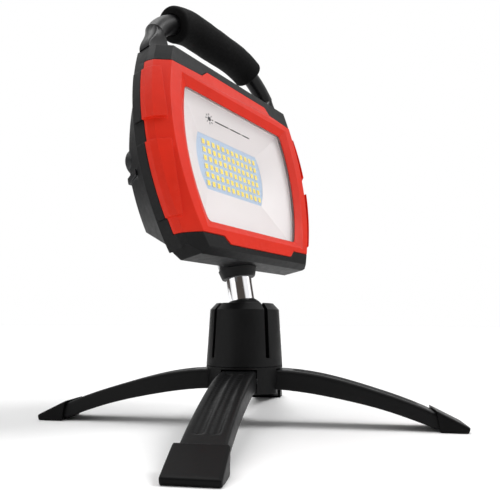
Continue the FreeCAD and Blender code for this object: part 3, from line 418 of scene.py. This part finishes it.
for name, obj in NODES.items():
    paint(obj, SLOT[name])
for name, width in SOFT_EDGES.items():
    softened(name, width * MM)
for name, width in CLAMPED_EDGES.items():
    softened(name, width * MM, clamp=True)
for side in LEG_SIDES:
    rounded_off("leg_" + side, LEG_VOXEL, LEG_PASSES)
    rounded_off("foot_cap_" + side, CAP_VOXEL, CAP_PASSES)
paint(NODES["lens_gasket"], "silicone")
make_foam()
make_chips()


# ---------------------------------------------------------------- stage, light and camera

def make_floor():
    bpy.ops.mesh.primitive_circle_add(vertices=96, radius=8.0, fill_type="NGON")
    floor = bpy.context.object
    floor.name = "floor"
    b = Build("floor_paper")
    b.link(b.blend(b.noise(0.05, 4.0), (0.90, 0.90, 0.90), (0.93, 0.93, 0.93)), b.shader.inputs["Base Color"])
    b.shader.inputs["Roughness"].default_value = 0.9
    b.shader.inputs["Specular IOR Level"].default_value = 0.1
    floor.data.materials.append(b.material)


def light(name, kind, energy, place, target, size):
    """A lamp at a place, aimed at a target; size is a sun's angle in degrees or a panel's side in metres."""
    data = bpy.data.lights.new(name, kind)
    data.energy = energy
    if kind == "SUN":
        data.angle = math.radians(size)
    else:
        data.shape = "SQUARE"
        data.size = size
    lamp = bpy.data.objects.new(name, data)
    bpy.context.scene.collection.objects.link(lamp)
    lamp.location = place
    lamp.rotation_euler = (Vector(target) - Vector(place)).to_track_quat("-Z", "Y").to_euler()


# Darker gaps between the studio's white panels: direction, and where each starts and ends.
GAPS = [
    ((-0.815, -0.58, -0.02), 0.62, 0.86),
    ((0.909, -0.416, 0.10), 0.36, 0.60),
    ((-0.094, 0.996, 0.10), 0.36, 0.60),
]
PANEL_TONE = (0.46, 0.46, 0.46, 1.0)
GAP_TONE = (0.035, 0.030, 0.027, 1.0)
GLOSSY_STRENGTH = 2.2


def make_world():
    """White studio with three darker gaps, which give chrome its stripes; reflections see it brighter."""
    world = bpy.data.worlds.new("studio")
    bpy.context.scene.world = world
    world.use_nodes = True
    tree = world.node_tree
    coords = tree.nodes.new("ShaderNodeTexCoord")
    shrink = tree.nodes.new("ShaderNodeVectorMath")
    shrink.operation = "MULTIPLY"
    shrink.inputs[1].default_value = (1.0, 1.0, 1.25)
    tree.links.new(coords.outputs["Generated"], shrink.inputs[0])
    tone = PANEL_TONE
    for direction, low, high in GAPS:
        apart = tree.nodes.new("ShaderNodeVectorMath")
        apart.operation = "DISTANCE"
        tree.links.new(shrink.outputs[0], apart.inputs[0])
        apart.inputs[1].default_value = direction
        ramp = tree.nodes.new("ShaderNodeMapRange")
        ramp.interpolation_type = "SMOOTHSTEP"
        ramp.inputs["From Min"].default_value = low
        ramp.inputs["From Max"].default_value = high
        tree.links.new(apart.outputs["Value"], ramp.inputs["Value"])
        mix = tree.nodes.new("ShaderNodeMix")
        mix.data_type = "RGBA"
        mix.inputs[6].default_value = GAP_TONE
        if isinstance(tone, tuple):
            mix.inputs[7].default_value = tone
        else:
            tree.links.new(tone, mix.inputs[7])
        tree.links.new(ramp.outputs["Result"], mix.inputs[0])
        tone = mix.outputs[2]
    seen = tree.nodes.new("ShaderNodeMix")
    seen.data_type = "RGBA"
    path = tree.nodes.new("ShaderNodeLightPath")
    tree.links.new(path.outputs["Is Camera Ray"], seen.inputs[0])
    tree.links.new(tone, seen.inputs[6])
    seen.inputs[7].default_value = (1.0, 1.0, 1.0, 1.0)
    tree.links.new(seen.outputs[2], tree.nodes["Background"].inputs["Color"])
    glossy = tree.nodes.new("ShaderNodeMapRange")
    glossy.inputs["To Min"].default_value = 1.0
    glossy.inputs["To Max"].default_value = GLOSSY_STRENGTH
    tree.links.new(path.outputs["Is Glossy Ray"], glossy.inputs["Value"])
    tree.links.new(glossy.outputs["Result"], tree.nodes["Background"].inputs["Strength"])


def make_camera():
    data = bpy.data.cameras.new("camera")
    data.sensor_width = 36.0
    data.lens = 37.694
    data.clip_start = 0.01
    camera = bpy.data.objects.new("camera", data)
    bpy.context.scene.collection.objects.link(camera)
    camera.location = (-0.26676, -0.18994, 0.05969)
    camera.rotation_euler = (math.radians(97.96), math.radians(-0.18), math.radians(-55.13))
    bpy.context.scene.camera = camera


make_floor()
make_world()
make_camera()
light("key", "SUN", 1.6, (0.5, -0.9, 1.1), (0, 0, 0), 24)
light("top", "SUN", 1.5, (-0.2, 0.2, 1.0), (0, 0, 0), 50)
light("left_panel", "AREA", 0.35, (-0.75, 0.25, 0.22), (0, 0, 0.12), 0.5)
light("right_panel", "AREA", 0.35, (0.55, -0.62, 0.25), (0, 0, 0.12), 0.4)
view = bpy.context.scene.view_settings
view.view_transform = "Standard"
view.look = "None"
bpy.context.scene.cycles.use_denoising = True
